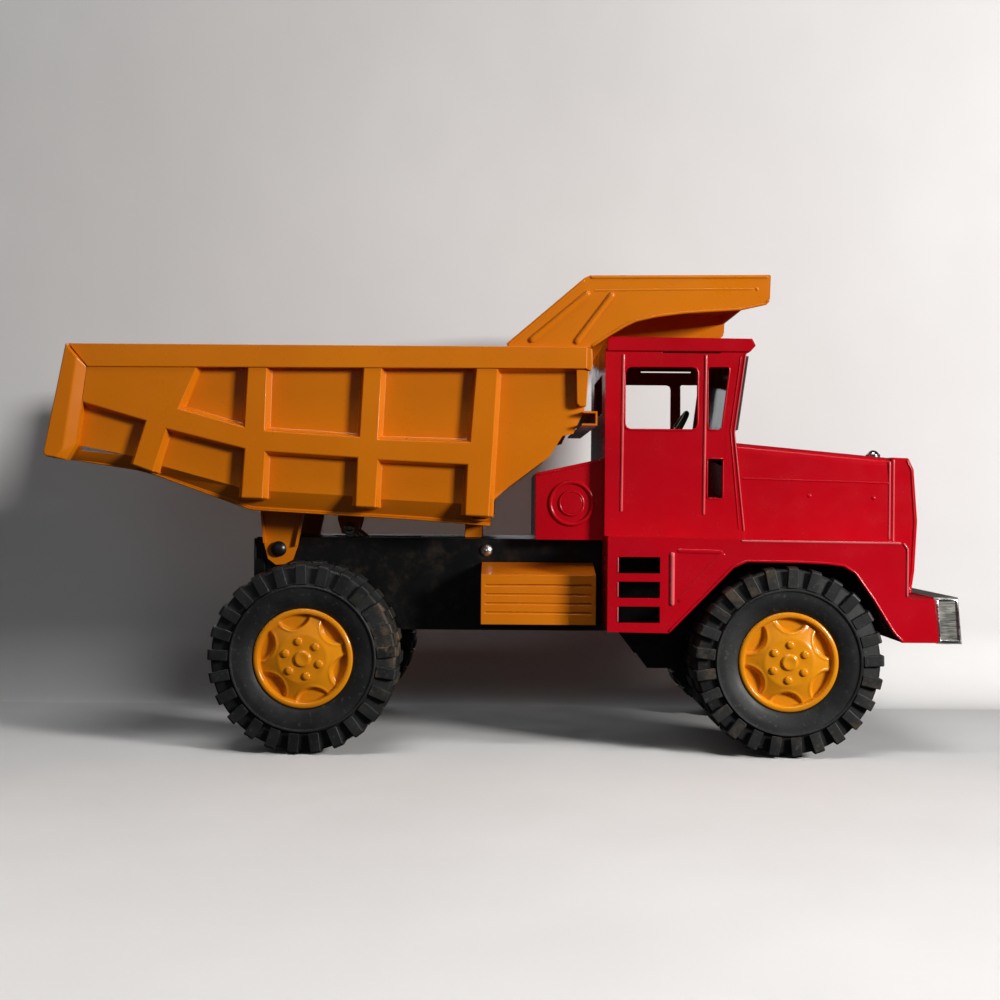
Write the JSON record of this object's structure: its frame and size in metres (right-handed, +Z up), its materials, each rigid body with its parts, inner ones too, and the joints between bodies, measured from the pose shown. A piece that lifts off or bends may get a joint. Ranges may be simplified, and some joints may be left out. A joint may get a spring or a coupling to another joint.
{
  "type": "toy dump truck",
  "caption": "Pressed-steel toy quarry dump truck with a ribbed tipping body, cab-guard canopy and free-spinning lugged wheels.",
  "frame": {"origin": "centre of the truck's footprint box, on the surface the wheels stand on", "axes": "+X forward to the bumper, +Y to the truck's left, +Z up"},
  "size_m": [0.4942, 0.19, 0.259],
  "materials": {
    "yellow_enamel": "gloss",
    "red_enamel": "gloss",
    "black_enamel": "gloss",
    "black_pin": "satin",
    "bright_steel": "satin",
    "bumper_steel": "satin",
    "bright_chrome": "polished",
    "dark_steel": "satin",
    "tyre_rubber": "matte",
    "teal_glazing": "clear",
    "dark_plastic": "satin",
    "green_plastic": "satin"
  },
  "bodies": {
    "chassis": {"chassis_frame": "black_enamel", "rear_end_plate": "black_enamel", "rear_axle_hanger": "black_enamel", "front_axle_hanger": "black_enamel", "rear_axle": "bright_steel", "front_axle": "bright_steel", "axle_spacers": "bright_steel", "axle_push_nuts": "bright_steel", "hinge_pin": "black_pin", "hinge_spacers": "bright_steel", "strut_anchor_pin": "black_pin", "side_box_right": "yellow_enamel", "side_box_left": "yellow_enamel", "chassis_screws": "bright_steel", "cab_shell": "red_enamel", "cab_roof": "red_enamel", "windshield": "teal_glazing", "windshield_frame": "dark_plastic", "cab_floor": "red_enamel", "steering_column": "dark_plastic", "steering_wheel": "green_plastic", "bonnet": "red_enamel", "radiator_shell": "red_enamel", "radiator_grille": "black_enamel", "radiator_cap": "bright_chrome", "wing_right": "red_enamel", "wing_left": "red_enamel", "front_valance": "red_enamel", "bumper": "bumper_steel", "air_cleaner_box": "red_enamel"},
    "tipping_body": {"bed_side_right": "yellow_enamel", "bed_side_left": "yellow_enamel", "bed_floor": "yellow_enamel", "bed_bulkhead": "yellow_enamel", "bulkhead_channel": "yellow_enamel", "canopy": "yellow_enamel", "hinge_bracket_right": "yellow_enamel", "hinge_bracket_left": "yellow_enamel", "lift_bracket": "yellow_enamel", "lift_pin": "bright_steel", "rest_feet": "yellow_enamel"},
    "strut_rod": {"strut_rod": "bright_steel"},
    "strut_cylinder": {"strut_cylinder": "dark_steel"},
    "wheel_front_right": {"tyre_front_right": "tyre_rubber", "wheel_disc_front_right": "yellow_enamel", "wheel_drum_front_right": "black_enamel"},
    "wheel_front_left": {"tyre_front_left": "tyre_rubber", "wheel_disc_front_left": "yellow_enamel", "wheel_drum_front_left": "black_enamel"},
    "wheel_rear_right": {"tyre_rear_right": "tyre_rubber", "wheel_disc_rear_right": "yellow_enamel", "wheel_drum_rear_right": "black_enamel"},
    "wheel_rear_left": {"tyre_rear_left": "tyre_rubber", "wheel_disc_rear_left": "yellow_enamel", "wheel_drum_rear_left": "black_enamel"}
  },
  "joints": [
    {"name": "body_tip", "type": "hinge", "parent": "chassis", "child": "tipping_body", "pos_m": [-0.1257, 0, 0.1077], "axis": [0, -1, 0], "range_deg": [0, 48]},
    {"name": "strut_swing", "type": "hinge", "parent": "tipping_body", "child": "strut_rod", "pos_m": [-0.09, 0, 0.119], "axis": [0, 1, 0], "range_deg": [0, 54]},
    {"name": "strut_extend", "type": "slide", "parent": "strut_rod", "child": "strut_cylinder", "axis": [0.8281, 0, -0.5606], "range_m": [0, 0.0295]},
    {"name": "wheel_front_right_spin", "type": "hinge", "parent": "chassis", "child": "wheel_front_right", "pos_m": [0.153, 0, 0.051], "axis": [0, 1, 0], "continuous": true},
    {"name": "wheel_front_left_spin", "type": "hinge", "parent": "chassis", "child": "wheel_front_left", "pos_m": [0.153, 0, 0.051], "axis": [0, 1, 0], "continuous": true},
    {"name": "wheel_rear_right_spin", "type": "hinge", "parent": "chassis", "child": "wheel_rear_right", "pos_m": [-0.1056, 0, 0.051], "axis": [0, 1, 0], "continuous": true},
    {"name": "wheel_rear_left_spin", "type": "hinge", "parent": "chassis", "child": "wheel_rear_left", "pos_m": [-0.1056, 0, 0.051], "axis": [0, 1, 0], "continuous": true}
  ],
  "couplings": [
    {"joint": "strut_swing", "follows": "body_tip", "ratio": 1.1122},
    {"joint": "strut_extend", "follows": "body_tip", "m_per_rad": 0.034784}
  ]
}
